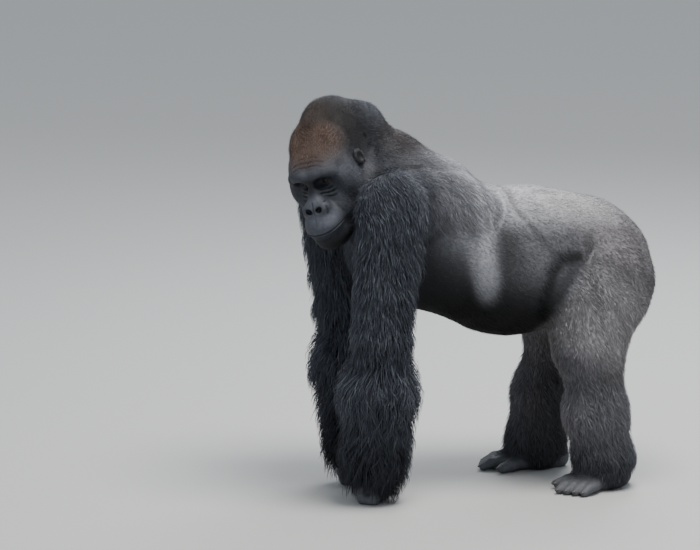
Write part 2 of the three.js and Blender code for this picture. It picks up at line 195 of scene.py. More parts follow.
# The bony arch over one eye: how far across, up and forward its points lie, and its radius there.
BROW_ARCH = [
    (0, 46, -166, 13),
    (24, 54, -168, 14),
    (48, 54, -158, 14),
    (68, 42, -142, 13),
    (74, 18, -122, 12),
    (70, 0, -112, 10),
]
head = Region(
    "head",
    soft=24,
    melt=45,
    forms=[
        Mass((22, 0, 66), (112, 96, 98), CROWN),
        Mass((72, 0, 120), (119, 90, 103), CROWN, (0, 18, 0)),
        *[Mass((-12, 60 * s, 82), (98, 45, 93), TEMPLE) for s in BOTH],
        *[
            Muscle((x0, y0 * s, z0), (x1, y1 * s, z1), r0, r1, BARE)
            for s in BOTH
            for (y0, z0, x0, r0), (y1, z1, x1, r1) in zip(BROW_ARCH, BROW_ARCH[1:])
        ],
        Mass((-92, 0, 62), (76, 98, 56), BROW_TOP),
        Muscle((-74, 0, 84), (-18, 0, 138), 60, 64, CROWN.lying((0.6, 0, 1))),
        Mass((-105, 0, -20), (64, 64, 80), BARE),
        *[Mass((-82, 82 * s, -8), (54, 38, 60), CHEEK.lying((1, 0.2 * s, -0.5))) for s in BOTH],
        *[Mass((-95, 52 * s, -75), (62, 42, 62), CHEEK.lying((1, 0.2 * s, -0.7))) for s in BOTH],
        Mass((-168, 0, -100), (64, 63, 57), BARE),
        Muscle((-152, 0, 30), (-186, 0, -32), 17, 24, BARE),
        *[Mass((-197, 24 * s, -49), (24, 24, 22), BARE) for s in BOTH],
        Mass((-196, 0, -112), (40, 54, 34), BARE),
        Mass((-172, 0, -158), (50, 50, 40), CHIN),
        *[Muscle((-145, 24 * s, -158), (0, 74 * s, -100), 36, 44, JAW) for s in BOTH],
        *[Mass((-25, 80 * s, -45), (66, 36, 85), JAW) for s in BOTH],
        Mass((-40, 0, -115), (100, 66, 66), THROAT),
    ],
    hollows=[
        *[Mass((-172, 40 * s, 21), (36, 30, 21), BARE) for s in BOTH],
        *[Mass((-221, 17.5 * s, -48), (20, 12.5, 8.5), BARE, (36 * s, 0, 0)) for s in BOTH],
    ],
    press=6,
    turn=head_turn,
    place=HEAD_PLACE,
)

# Lids: a dome of skin over each eyeball. Its slit is opened once the mesh is fine.
lids = Region(
    "lids",
    soft=1,
    melt=5,
    forms=[Mass(EYE * (1, s, 1), (EYE_RADIUS + LID + BARE.depth,) * 3, BARE) for s in BOTH],
    turn=head_turn,
    place=HEAD_PLACE,
)

# Ears: a small leaf close to the head, its rim rolled over a dark bowl. The rim's points go back and up from
# the middle, each with its radius.
EAR_RIM = [(-12, 18, 3), (-4, 26, 5), (6, 26, 6), (15, 17, 6.4), (18, 2, 6.4), (13, -14, 5.5), (3, -26, 4)]
EAR_FLARE, EAR_LEAN = 14, 26


def ear(side):
    lean = (EAR_FLARE * side, 0, EAR_LEAN * side)
    turn = np.array(Euler([math.radians(a) for a in lean], "XYZ").to_matrix())

    def spot(back, out, up):
        return EAR * (1, side, 1) + turn @ np.array([back, out * side, up])

    leaf = Mass(spot(0, -4, 0), (20, 10, 28), BARE, lean)
    rim = [
        Muscle(spot(back0, 3, up0), spot(back1, 3, up1), r0, r1, BARE)
        for (back0, up0, r0), (back1, up1, r1) in zip(EAR_RIM, EAR_RIM[1:])
    ]
    bowl = Mass(spot(-1, 8, 0), (12, 10, 18), BARE, lean)
    return Region(f"ear_{side}", 4, 8, [leaf, *rim], [bowl], 3, head_turn, HEAD_PLACE)


ears = [ear(s) for s in BOTH]

# Neck: a thick column whose nape runs straight up to the crest of the skull.
NAPE = Coat(8, 19, 24, 1.9, (0.9, 0, -0.75), bend=0.5, stray=0.25)


def in_head(x, y, z):
    return head.outward(np.array([[x, y, z]], float))[0]


def by_joint(joint, side, x, y, z):
    """A place beside a joint, y being outward on that side."""
    return joint + (x, y * side, z)


neck = Region(
    "neck",
    soft=60,
    melt=45,
    forms=[
        Mass((-386, 52, 1086), (103, 105, 160), NAPE),
        Muscle((-474, 30, 1176), (-415, 46, 1167), 86, 82, NAPE),
        Mass((-272, 28, 1010), (88, 100, 142), NAPE),
        Muscle((-385, 50, 1070), (-190, 0, 930), 105, 165, NAPE),
        Muscle(in_head(10, 0, -60), (-310, 0, 860), 80, 125, THROAT),
        *[Muscle(in_head(80, 20 * s, 5), (-230, 125 * s, 960), 70, 90, NAPE) for s in BOTH],
    ],
)

# Arms: shaggy from the shoulder to the knuckles, the hair hanging away from the bone below the elbow.
UPPER_ARM = Coat(24, 54, 24, 2.4, (0.1, 0, -1), bend=0.5, hang=0.15)
FOREARM = Coat(42, 88, 28, 3.1, (0, 0, -1), bend=0.3, hang=0.1, stray=0.3)
CUFF = Coat(54, 84, 30, 3.0, (0, 0, -1), bend=0.1, hang=0.1, stray=0.3)
HAND = Coat(4, 42, 20, 2.2, (0, 0, -1))
# Shoulder, elbow, wrist and knuckles.
arms = {
    LEFT: [(-372, -232, 950), (-400, -265, 545), (-404, -195, 165), (-392, -188, 0)],
    RIGHT: [(-440, 224, 962), (-398, 218, 545), (-392, 80, 165), (-376, 48, 0)],
}


def arm(side):
    shoulder, elbow, wrist, knuckles = [np.array(j, float) for j in arms[side]]
    middle = elbow + (wrist - elbow) * 0.45
    cap = SHOULDER.lying((0.25, 0.75 * side, -0.7))
    back_of_arm = by_joint(shoulder, side, 60, -40, -60), by_joint(elbow, side, 25, -5, 150)
    return Region(
        f"arm_{side}",
        soft=45,
        melt=45,
        forms=[
            Mass(by_joint(shoulder, side, 8, 5, 12), (114, 98, 118), cap),
            Muscle(by_joint(shoulder, side, 0, 5, -60), by_joint(elbow, side, 0, 0, 30), 112, 106, UPPER_ARM),
            Muscle(*back_of_arm, 90, 72, UPPER_ARM),
            Muscle(elbow, middle, 108, 128, FOREARM),
            Muscle(middle, wrist, 128, 122, FOREARM),
            Muscle(wrist, wrist + (knuckles - wrist) * 0.52, 110, 102, CUFF),
        ],
    )


# Hands: a broad palm upright over four folded fingers, whose middle joints bear on the floor.
HAND_TURN = 35
FINGER_PITCH = 33


def turned(place, degrees):
    turn = np.array(Matrix.Rotation(math.radians(degrees), 3, "Z"))
    return lambda x, y, z: np.array(place, float) * (1, 1, 0) + turn @ np.array([x, y, z], float)


def hand(side):
    here = turned(arms[side][3], HAND_TURN * side)
    forms = [
        Muscle(here(-8, y * side, 82), here(6, y * side * 0.6, 130), 25, 27, HAND) for y in (-36, -12, 12, 36)
    ]
    forms.append(Muscle(here(18, -44 * side, 112), here(4, -60 * side, 62), 17, 13, HAND))
    for i in range(4):
        y = (i - 1.5) * FINGER_PITCH * side
        longer = 6 if i in (1, 2) else 0
        bends = [(-22, 80), (-48 - longer, 44), (-34, 16), (4, 14), (14, 40)]
        joints = [here(x, y, z) for x, z in bends]
        for a, b in zip(joints, joints[1:]):
            forms.append(Muscle(a, b, 17.5, 16.5, BARE))
    return Region(f"hand_{side}", 7, 22, forms)


# Legs: heavy thighs, short shanks whose hair skirts the ankle.
THIGH = Coat(9, 24, 22, 1.9, (0.35, 0, -1), bend=0.4, stray=0.2)
SHANK = Coat(14, 34, 24, 2.1, (0.35, 0, -1), bend=0.35, hang=0.05, stray=0.25)
ANKLE = Coat(16, 38, 20, 2.2, (0, 0, -1), bend=0.2)
FOOT = Coat(1.5, 14, 14, 1.5, (-1, 0, -0.2))
# Hip, knee and ankle, and how many degrees the foot points outward.
legs = {
    LEFT: [(395, -118, 660), (318, -190, 405), (362, -172, 95), 29],
    RIGHT: [(395, 118, 660), (305, 175, 400), (234, 165, 95), 4],
}
FRONT_OF_THIGH = {
    LEFT: ((300, -140, 600), (285, -185, 470), 130, 105),
    RIGHT: ((320, 140, 600), (282, 165, 470), 112, 88),
}


def leg(side):
    hip, knee, ankle = [np.array(j, float) for j in legs[side][:3]]
    calf = (knee + ankle) / 2 - (8, 0, 0)
    return Region(
        f"leg_{side}",
        soft=45,
        melt=26,
        forms=[
            Mass(by_joint(hip, side, 0, 15, 0), (148, 112, 150), RUMP),
            Muscle(by_joint(hip, side, -25, 15, -80), by_joint(knee, side, 0, 0, 30), 128, 98, THIGH),
            Muscle(*FRONT_OF_THIGH[side], THIGH),
            Muscle(knee, calf, 98, 104, SHANK),
            Muscle(calf, ankle, 104, 101, SHANK),
            Muscle(ankle, ankle - (0, 0, 34), 98, 84, ANKLE),
        ],
    )


# Feet: flat soles, four toes in a row and the great toe standing off to the inner side.
TOE_SPREAD = 1.1  # the toes fan out by this much from root to tip


def toe_tip(i, side):
    """How far across and ahead a toe ends, the great toe's neighbour being the first."""
    return (-22 + 26 * i) * side, -190 + 9 * i


def foot(side):
    ankle, outward = legs[side][2:]
    here = turned(ankle, -outward * side)
    forms = [
        Muscle(here(0, 0, 90), here(14, 0, 52), 58, 48, FOOT),
        Mass(here(70, 0, 30), (45, 38, 42), FOOT),
        Mass(here(-20, 4 * side, 36), (88, 48, 48), FOOT, (0, 0, -outward * side)),
        Mass(here(-92, 10 * side, 24), (48, 56, 34), FOOT, (0, 0, -outward * side)),
    ]
    for i in range(4):
        y, tip = toe_tip(i, side)
        toe = [here(-100, y, 30), here(tip + 40, y * 1.08, 25), here(tip + 12, y * TOE_SPREAD, 13)]
        forms.append(Muscle(toe[0], toe[1], 18, 16, BARE))
        forms.append(Muscle(toe[1], toe[2], 16, 13.5, BARE))
    great = [here(-48, -34 * side, 32), here(-92, -66 * side, 24), here(-126, -80 * side, 17)]
    forms.append(Muscle(great[0], great[1], 25, 20, BARE))
    forms.append(Muscle(great[1], great[2], 20, 16.5, BARE))
    return Region(f"foot_{side}", 9, 30, forms)


limbs = {s: {"arm": arm(s), "hand": hand(s), "leg": leg(s), "foot": foot(s)} for s in BOTH}
body = [trunk, neck, *[limbs[s][k] for s in BOTH for k in ("arm", "hand", "leg", "foot")], head, lids, *ears]


def flesh(p):
    """Distance from the skin, negative inside."""
    total = np.full(len(p), 400.0)
    for region in body:
        close = np.linalg.norm(p - region.middle, axis=1) < region.reach
        if close.any():
            total[close] = smooth_least(total[close], region.distance(p[close]), region.melt)
    return total


FLOOR_FLAT = 0.6  # the soles and knuckles are pressed level this far above the solids' own flats


def pressed(p, rounds=2, furthest=12):
    """Points moved onto the skin's surface, and no lower than the floor."""
    for _ in range(rounds):
        here = flesh(p)
        slope = np.stack([flesh(p + step) - here for step in np.eye(3) * 0.5], 1) / 0.5
        move = -here / np.maximum((slope**2).sum(1), 0.2)
        p = p + slope * np.clip(move, -furthest, furthest)[:, None]
        p[:, 2] = np.maximum(p[:, 2], FLOOR_FLAT)
    return p


# The hide's first cast: a ball drawn out over each form, all fused together in voxels.
VOXEL = 12.4
ball_mesh = bmesh.new()
bmesh.ops.create_icosphere(ball_mesh, subdivisions=3, radius=1)
ball = np.array([v.co for v in ball_mesh.verts])
cast_mesh = bmesh.new()
for region in body:
    if region is lids:
        continue
    for form in region.forms:
        made = bmesh.ops.create_icosphere(cast_mesh, subdivisions=3, radius=1)["verts"]
        for vert, place in zip(made, to_frame(region.outward(form.cast(ball)))):
            vert.co = place
ball_mesh.free()
skin_data = bpy.data.meshes.new("skin")
cast_mesh.to_mesh(skin_data)
cast_mesh.free()
skin = bpy.data.objects.new("skin", skin_data)
bpy.context.scene.collection.objects.link(skin)
remesh = skin.modifiers.new("fused", "REMESH")
remesh.mode = "VOXEL"
remesh.voxel_size = VOXEL * MM
skin.data = bpy.data.meshes.new_from_object(skin.evaluated_get(bpy.context.evaluated_depsgraph_get()))
skin.modifiers.clear()
bpy.data.meshes.remove(skin_data)

hide = bmesh.new()
hide.from_mesh(skin.data)


def places():
    return np.array([v.co for v in hide.verts]) / MM - ORIGIN


def move_to(points):
    for vert, place in zip(hide.verts, to_frame(points)):
        vert.co = place


def relaxed(p, amount, rounds=1):
    """Points eased towards the middle of their neighbours."""
    hide.verts.index_update()
    ends = np.array([[e.verts[0].index, e.verts[1].index] for e in hide.edges])
    both = np.concatenate([ends, ends[:, ::-1]])
    count = np.bincount(both[:, 0], minlength=len(p))[:, None]
    for _ in range(rounds):
        total = np.stack([np.bincount(both[:, 0], p[both[:, 1], k], len(p)) for k in range(3)], 1)
        p = p + amount * (total / np.maximum(count, 1) - p)
    return p


def refine(wanted):
    """Faces whose corners are all in the wanted zone are cut in four."""
    hide.verts.index_update()
    hide.verts.ensure_lookup_table()
    inside = wanted(places())
    faces = [f for f in hide.faces if all(inside[v.index] for v in f.verts)]
    edges = list({e for f in faces for e in f.edges})
    bmesh.ops.subdivide_edges(hide, edges=edges, cuts=1, use_grid_fill=True)
    bmesh.ops.triangulate(hide, faces=[f for f in hide.faces if len(f.verts) > 4])


def within(region_list, reach):
    return lambda p: np.min([r.distance(p) for r in region_list], axis=0) < reach


def mirrored_in_head(p):
    q = head.inward(p)
    return q, np.stack([q[:, 0], np.abs(q[:, 1]), q[:, 2]], 1)


def on_face(p):
    q, _ = mirrored_in_head(p)
    ahead = (q[:, 0] < -75) & (np.abs(q[:, 1]) < 84)
    return ahead & (q[:, 2] > -165) & (q[:, 2] < 114) & (head.distance(p) < 20)


def by_ears(p):
    _, q = mirrored_in_head(p)
    return np.linalg.norm(q - EAR - (0, 6, 0), axis=1) < 38


def on_digits(p):
    zone = np.zeros(len(p), bool)
    for s in BOTH:
        ankle, outward = legs[s][2], legs[s][3]
        ahead = (p - ankle) @ turned((0, 0, 0), -outward * s)(-1, 0, 0)
        zone |= (limbs[s]["foot"].distance(p) < 8) & (p[:, 2] < 46) & (p[:, 2] > 2) & (ahead > 92)
        zone |= (limbs[s]["hand"].distance(p) < 8) & (p[:, 2] < 60) & (p[:, 2] > 2)
    return zone


def by_features(p):
    q, m = mirrored_in_head(p)
    eye = np.linalg.norm(m - EYE, axis=1) < 29
    nose = np.linalg.norm(q - (-212, 0, -45), axis=1) < 46
    mouth = (np.abs(q[:, 2] + 118) < 20) & (q[:, 0] < -110) & (np.abs(q[:, 1]) < 76) & (head.distance(p) < 20)
    return eye | nose | mouth


def by_slits(p):
    q, m = mirrored_in_head(p)
    eye = np.linalg.norm(m - EYE - (-8, 0, 0), axis=1) < 16
    nostril = np.linalg.norm(m - (-220, 17, -48), axis=1) < 17
    return eye | nostril


ends_of_limbs = [limbs[s][k] for s in BOTH for k in ("hand", "foot")]

# Creases and ridges of the body under its coat: points on the left side, half width, and depth (a ridge's is
# below 0).
CREASES = [
    # ridge over the last ribs, and the dip in front of it
    (
        [(-88, -37, 1053), (-65, -96, 1017), (-48, -187, 935)]
        + [(-44, -218, 844), (-32, -236, 718), (-10, -228, 640)],
        26,
        -6,
    ),
    ([(-125, -70, 1040), (-100, -150, 975), (-88, -215, 860), (-78, -236, 740)], 22, 3),
    # fold of the flank, and the dip behind it
    ([(51, -16, 962), (50, -134, 928), (67, -178, 893), (107, -221, 841), (152, -237, 796)], 10, -5),
    ([(70, -20, 962), (72, -132, 922), (90, -176, 884), (128, -216, 830), (166, -232, 790)], 13, 3),
    # before the thigh
    ([(259, -204, 765), (204, -230, 760), (166, -248, 723), (144, -234, 634), (150, -190, 560)], 20, 11),
    # between neck and shoulder
    ([(-380, -108, 1036), (-343, -124, 1051), (-316, -132, 1057), (-250, -135, 1066)], 11, 9),
    # behind the ear
    ([(-354, -31, 1164), (-360, -66, 1112), (-366, -86, 1084), (-372, -100, 1050)], 9, 5),
]
TEMPLE_LINE = [(-34, 26, 186), (-16, 51, 176), (-14, 80, 150), (-12, 96, 110), (-14, 102, 76)]
TEMPLE_WIDTH, TEMPLE_DEPTH = 14, 3


def stepped(path, step=1.2):
    """The points of a line of straight stretches, this far apart."""
    path = np.asarray(path, float)
    run = np.concatenate([[0], np.cumsum(np.linalg.norm(np.diff(path, axis=0), axis=1))])
    at = np.linspace(0, run[-1], int(run[-1] / step) + 2)
    return np.stack([np.interp(at, run, path[:, k]) for k in range(path.shape[1])], 1)


crease_lines = [
    (pressed(stepped(np.array(path) * (1, -side, 1), 6.0), 4), width, depth)
    for path, width, depth in CREASES
    for side in BOTH
]
for side in BOTH:
    temple = head.outward(stepped(np.array(TEMPLE_LINE) * (1, side, 1), 4.0))
    crease_lines.append((pressed(temple, 4), TEMPLE_WIDTH, TEMPLE_DEPTH))


def alongside(line, p, furthest=60):
    """Which points are near a line, how far each of these is from it, and which of its points is nearest."""
    boxed = np.flatnonzero(((p > line.min(0) - furthest) & (p < line.max(0) + furthest)).all(1))
    gap = np.linalg.norm(p[boxed, None, :] - line[None], axis=2)
    return boxed, gap.min(1), gap.argmin(1)


def by_creases(p):
    close = np.zeros(len(p), bool)
    for line, width, _ in crease_lines:
        boxed, apart, _ = alongside(line, p)
        close[boxed] |= apart < width + 5
    return close


def settle(zone, rounds=2):
    """The hide's points in a zone are evened out and pressed onto the flesh."""
    every = places()
    moving = zone(every)
    every[moving] = pressed(relaxed(every, 0.5, rounds)[moving])
    move_to(every)


def fine(p, over_head=6, over_ends=5):
    return within([head], over_head)(p) | within(ends_of_limbs, over_ends)(p) | by_ears(p) | by_creases(p)


def finer(p):
    return on_face(p) | by_ears(p) | on_digits(p)


def finest(p):
    return by_features(p) | by_ears(p)


settle(lambda p: np.full(len(p), True))
refine(fine)
settle(lambda p: fine(p, 20, 16))
refine(finer)
settle(finer)
refine(finest)
settle(finest)
settle(by_ears, 3)
refine(by_slits)
settle(finest, 1)

# Folds of the bare face, as lines across and up it: creases pressed in (a depth above 0) and welts raised.
# Each is (across, up) points, then its half width and its depth. They are on both sides.
FOLDS = [
    ([(40, -36), (45, -47), (44, -60), (38, -74)], 3.2, 2.6),  # round the wing of the nose
    ([(0, -24), (0, -62)], 2.6, 2.2),  # down the tip of the nose
    ([(0, -74), (0, -98)], 2.4, 1.3),  # groove of the upper lip
    ([(20, 4), (30, -1), (44, -5), (60, -3)], 2.0, 3.4),  # bags under the eye
    ([(19, -3), (30, -8), (44, -12), (62, -9)], 3.0, -2.2),
    ([(22, -9), (32, -16), (46, -20), (64, -15)], 2.2, 4.0),
    ([(26, -16), (36, -22), (48, -26), (62, -22)], 2.8, -1.8),
    ([(30, -25), (42, -32), (52, -34), (64, -29)], 2.2, 3.4),
    ([(16, 26), (26, 35), (38, 38), (50, 34), (57, 24)], 2.2, 2.4),  # over the upper lid
    ([(5, 22), (6, 36), (4, 50)], 1.9, 1.5),  # between the brows
    ([(13, 22), (15, 38)], 1.7, 1.2),
    ([(0, 80), (24, 81), (50, 76), (66, 68)], 2.4, 2.4),  # wrinkles over the brow
    ([(0, 90), (22, 91), (44, 87), (60, 80)], 2.4, 2.2),
    ([(6, 101), (22, 101), (40, 96)], 2.4, 1.8),
    ([(10, 111), (26, 109)], 2.4, 1.2),
    ([(54, -60), (64, -78), (70, -98)], 4.0, 1.6),  # from the cheek to the corner of the mouth
    ([(0, -124), (22, -123), (40, -120), (54, -116), (63, -112)], 1.6, 4.4),  # mouth
    ([(0, -129), (24, -128), (43, -124), (60, -116)], 2.2, -1.5),  # rim of the lower lip
    ([(0, -118), (22, -117), (40, -113)], 2.2, -0.8),  # rim of the upper lip
    ([(0, -148), (20, -147), (34, -141)], 4.0, 1.6),  # under the lower lip
]


def front_of_face(path):
    """The points of the bare face's surface over a path across and up it, found from in front."""
    x = np.arange(-265.0, 0.0, 1.2)
    grid = np.array([[(a, y, z) for a in x] for y, z in path])
    inside = head.distance(head.outward(grid.reshape(-1, 3))).reshape(len(path), -1) < 0
    return stepped(grid[np.arange(len(path)), inside.argmax(1)])


every = places()
sunk = np.zeros(len(every))
for line, width, depth in crease_lines:
    boxed, apart, nearest = alongside(line, every)
    reach = np.minimum(nearest, len(line) - 1 - nearest) / max(len(line) / 4, 1)
    sunk[boxed] += depth * np.clip(reach, 0, 1) * np.exp(-((apart / width) ** 2))
on_it = np.flatnonzero(on_face(every) | by_features(every))
in_local, _ = mirrored_in_head(every[on_it])
face_sunk = np.zeros(len(on_it))
for path, width, depth in FOLDS:
    on_left = front_of_face(stepped(path, 2.5) * (-1, 1))
    for line in (on_left, on_left * (1, -1, 1)):
        near, apart, nearest = alongside(line, in_local, 9)
        fade = np.clip((len(line) - 1 - nearest) / 8, 0.15, 1)
        if path[0][0] > 0:
            fade = fade * np.clip((nearest + 1) / 8, 0.15, 1)
        dip = depth * fade * np.exp(-((apart / width) ** 2))
        face_sunk[near] = np.where(np.abs(dip) > np.abs(face_sunk[near]), dip, face_sunk[near])

# The slit between the lids, where the hide dives behind the eyeball.
SLIT_INNER, SLIT_OUTER, SLIT_UP, SLIT_DOWN = -46, 52, 15, 13  # degrees from the eye's centre
SLIT_DEPTH = LID + 2.2
opened = np.zeros(len(on_it))
for side in BOTH:
    out = in_local * (1, side, 1) - EYE
    far = np.linalg.norm(out, axis=1)
    aside = np.degrees(np.arctan2(out[:, 1], -out[:, 0]))
    rise = np.degrees(np.arcsin(np.clip(out[:, 2] / far, -1, 1)))
    share = (aside - SLIT_INNER) / (SLIT_OUTER - SLIT_INNER) * 2 - 1
    arch = 1 - share**2
    above = rise - arch * SLIT_UP
    below = -rise - arch * SLIT_DOWN
    outside = np.maximum(above, below) * math.radians(1) * EYE_RADIUS
    near = (far < EYE_RADIUS + LID + 3.5) & (out[:, 0] < 2)
    opened = np.maximum(opened, near * (1 - smooth_step(-0.7, 0.5, outside)))
sunk[on_it] += face_sunk + opened * SLIT_DEPTH
moving = np.flatnonzero(np.abs(sunk) > 0.05)
here = flesh(every[moving])
inward = -np.stack([flesh(every[moving] + step) - here for step in np.eye(3) * 0.5], 1) / 0.5
every[moving] += unit(inward) * sunk[moving][:, None]
move_to(every)
# painted shade in the face's folds and eye slits, and painted highlight on its raised welts
fold_shade_and_highlight = np.zeros(len(every))
fold_shade_and_highlight[on_it] = np.clip(face_sunk / 3, -0.5, 1) + opened

bmesh.ops.recalc_face_normals(hide, faces=hide.faces)
for face in hide.faces:
    face.smooth = True
hide.to_mesh(skin.data)
hide.free()


# Markings and painted light: black on the limbs, a silver saddle, a grey rump, a rusty forehead and a bare
# slate face, with painted shade in hollows, creases and under the body and painted highlights on some ridges.
# Each patch is
# laid over the ones before it: its middle, half sizes, colour, strength, and how softly it ends.
BLACK = (0.08, 0.088, 0.108)
BODY_PATCHES = [
    ((-385, 0, 70), (230, 420, 270), (0.011, 0.012, 0.015), 0.9, 0.6),  # wrists and hands
    ((-225, 20, 1080), (140, 170, 100), (0.1, 0.096, 0.102), 0.8, 0.5),  # withers
    ((-175, 0, 925), (130, 330, 190), (0.17, 0.172, 0.195), 0.75, 0.6),  # shoulder blades
    ((-118, 0, 860), (82, 330, 220), (0.3, 0.304, 0.33), 0.78, 0.8),
    ((130, 0, 830), (275, 420, 340), (0.15, 0.152, 0.165), 0.95, 0.26),  # sides
    ((165, 0, 1010), (235, 290, 150), (0.44, 0.44, 0.46), 0.95, 0.45),  # silver top
    ((430, 0, 800), (180, 330, 320), (0.205, 0.193, 0.203), 0.95, 0.40),  # rump
    ((330, 0, 935), (180, 220, 85), (0.38, 0.37, 0.38), 0.8, 0.5),  # loins
    ((20, 0, 560), (260, 330, 172), (0.009, 0.0095, 0.0095), 0.98, 0.35),  # under the belly, with the next patch: dark hair darkened further as painted shade
    ((-60, 0, 530), (340, 200, 150), (0.012, 0.012, 0.012), 0.98, 0.4),
    ((-190, 0, 670), (150, 330, 150), (0.008, 0.009, 0.009), 0.95, 0.9),  # behind the arms: painted shade
    ((350, 0, 520), (205, 340, 215), (0.33, 0.315, 0.325), 0.95, 0.22),  # thighs
    ((330, 0, 390), (200, 340, 75), (0.2, 0.193, 0.203), 0.7, 0.6),  # knees
    ((320, 0, 250), (200, 340, 150), (0.25, 0.243, 0.262), 0.88, 0.5),  # shanks
    ((290, 0, 260), (190, 125, 210), (0.07, 0.07, 0.075), 0.85, 0.5),  # painted shade on the inner sides of the shanks
    ((300, 0, 50), (260, 340, 135), (0.08, 0.082, 0.09), 0.9, 0.5),  # ankles and feet
    ((-290, 30, 1150), (110, 120, 60), (0.08, 0.07, 0.069), 0.7, 0.6),  # nape
]
# The middles and half sizes, on one side, of the painted highlight on the band that runs down over the last
# ribs, of the painted shade behind it and of the painted highlight on the pale fold of the flank.
LAST_RIBS_HIGHLIGHT = [
    ((-92, 50, 1045), (52, 90, 60)),
    ((-76, 120, 1000), (50, 80, 70)),
    ((-58, 175, 935), (52, 80, 80)),
    ((-56, 215, 860), (50, 80, 80)),
    ((-54, 230, 785), (44, 70, 80)),
    ((-46, 232, 715), (36, 60, 80)),
    ((-2, 185, 925), (60, 80, 60)),
]
BEHIND_RIBS_SHADE = [((12, 225, 795), (46, 70, 110))]
FLANK_FOLD_HIGHLIGHT = [((50, 60, 950), (13, 70, 40)), ((52, 134, 928), (13, 45, 36)), ((67, 178, 893), (14, 36, 36))]
for tint, strength, edge, spots in (
    ((0.46, 0.465, 0.5), 0.64, 0.7, LAST_RIBS_HIGHLIGHT),
    ((0.06, 0.061, 0.067), 0.7, 0.6, BEHIND_RIBS_SHADE),
    ((0.3, 0.3, 0.32), 0.6, 0.8, FLANK_FOLD_HIGHLIGHT),
):
    for (x, y, z), half in spots:
        BODY_PATCHES += [((x, side * y, z), half, tint, strength, edge) for side in BOTH]
HEAD_PATCHES = [
    ((30, 0, 100), (150, 130, 160), (0.014, 0.012, 0.012), 0.95, 0.3),  # crown and temples
    ((-62, 0, 160), (96, 92, 70), (0.026, 0.018, 0.015), 0.9, 0.5),  # brown front of the crest
    ((-85, 0, 112), (88, 94, 78), (0.12, 0.077, 0.06), 0.9, 0.4),  # rusty forehead
    ((-10, 0, 205), (70, 40, 36), (0.045, 0.031, 0.025), 0.7, 0.5),  # rusty top
    ((-50, 0, -20), (110, 118, 120), (0.112, 0.117, 0.136), 0.85, 0.35),  # cheeks
    *[((-4, 100 * s, -34), (34, 50, 36), (0.19, 0.19, 0.205), 0.6, 0.8) for s in BOTH],  # under the ears
    ((-165, 0, -170), (80, 70, 32), (0.045, 0.048, 0.051), 0.95, 0.4),  # chin
]
SLATE = (0.03, 0.033, 0.041)
BARE_PATCHES = [
    ((-178, 0, 60), (40, 80, 13), (0.05, 0.054, 0.064), 0.8, 0.5),  # painted highlight along the top of the brow ridge
    ((-165, 0, 20), (42, 76, 27), (0.015, 0.0165, 0.021), 0.94, 0.3),  # painted shade round the eyes, deep under the brow
    ((-205, 0, -85), (75, 60, 45), (0.074, 0.08, 0.1), 0.85, 0.5),  # muzzle: painted highlight
    ((-190, 0, -30), (40, 24, 20), (0.075, 0.082, 0.1), 0.8, 0.6),  # bridge of the nose: painted highlight
    ((-180, 0, -160), (80, 70, 26), (0.03, 0.033, 0.036), 0.9, 0.5),  # chin
    *[((-214, 17.5 * s, -48), (27, 11.5, 9), (0.002, 0.002, 0.003), 1.0, 0.2) for s in BOTH],  # painted shade inside the nostrils
    *[(EAR * (1, s, 1), (40, 40, 42), (0.024, 0.024, 0.028), 1.0, 0.2) for s in BOTH],  # ears
    # painted shade in the bowls of the ears
    *[((EAR + (-4, 3, -2)) * (1, s, 1), (11, 14, 15), (0.006, 0.006, 0.007), 1.0, 0.3) for s in BOTH],
]
GROOVE_SHADE = 0.06  # painted shade: how much each millimetre of a crease's depth darkens it


def laid_over(colour, points, patches):
    for middle, half, tint, strength, edge in patches:
        reach = np.linalg.norm((points - middle) / half, axis=1)
        share = strength * (1 - smooth_step(1 - edge, 1 + edge, reach))[:, None]
        colour = colour * (1 - share) + np.array(tint) * share
    return colour


def coat_colour(points):
    """The coat's colour and painted light, with painted shade down in the deeper creases."""
    colour = laid_over(np.tile(BLACK, (len(points), 1)), points, BODY_PATCHES)
    colour = laid_over(colour, head.inward(points), HEAD_PATCHES)
    for line, width, depth in crease_lines:
        boxed, apart, _ = alongside(line, points)
        colour[boxed] *= (1 - GROOVE_SHADE * max(depth, 0) * np.exp(-((apart / width) ** 2)))[:, None]
    return colour


def bareness(points):
    """1 on the bare face, ears, digits and soles, falling to 0 where the coat begins."""
    q, m = mirrored_in_head(points)
    face = [
        np.linalg.norm((m - (-165, 0, 40)) / (90, 80, 35), axis=1),
        np.linalg.norm((m - (-165, 0, -20)) / (95, 62, 68), axis=1),
        np.linalg.norm((m - (-185, 0, -88)) / (90, 68, 51), axis=1),
    ]
    bare = 1 - smooth_step(0.86, 1.06, np.min(face, axis=0))
    ear = 1 - smooth_step(25, 33, np.linalg.norm(m - EAR - (0, 8, 0), axis=1))
    digits = np.zeros(len(points))
    for s in BOTH:
        for part, low, high in (("hand", 44, 74), ("foot", 34, 52)):
            close = limbs[s][part].distance(points) < 10
            digits = np.maximum(digits, close * (1 - smooth_step(low, high, points[:, 2])))
    return np.maximum.reduce([bare, ear, digits])


def with_vertex_values(mesh, name, kind, values):
    layer = mesh.attributes.new(name, kind, "POINT")
    key = "color" if kind == "FLOAT_COLOR" else "value"
    layer.data.foreach_set(key, np.ascontiguousarray(values, np.float32).ravel())


def opaque(colour):
    return np.concatenate([colour, np.ones((len(colour), 1))], 1)


bare = bareness(every)
DIGIT_SKIN = (0.09, 0.093, 0.102)
FOLD_SHADE = 0.75  # painted shade: how dark the face's deepest folds and the eye slits are; raised welts get a little painted highlight
on_head = (head.distance(every) < 60)[:, None]
bare_colour = laid_over(np.where(on_head, SLATE, DIGIT_SKIN), head.inward(every), BARE_PATCHES)
under_coat = coat_colour(every)
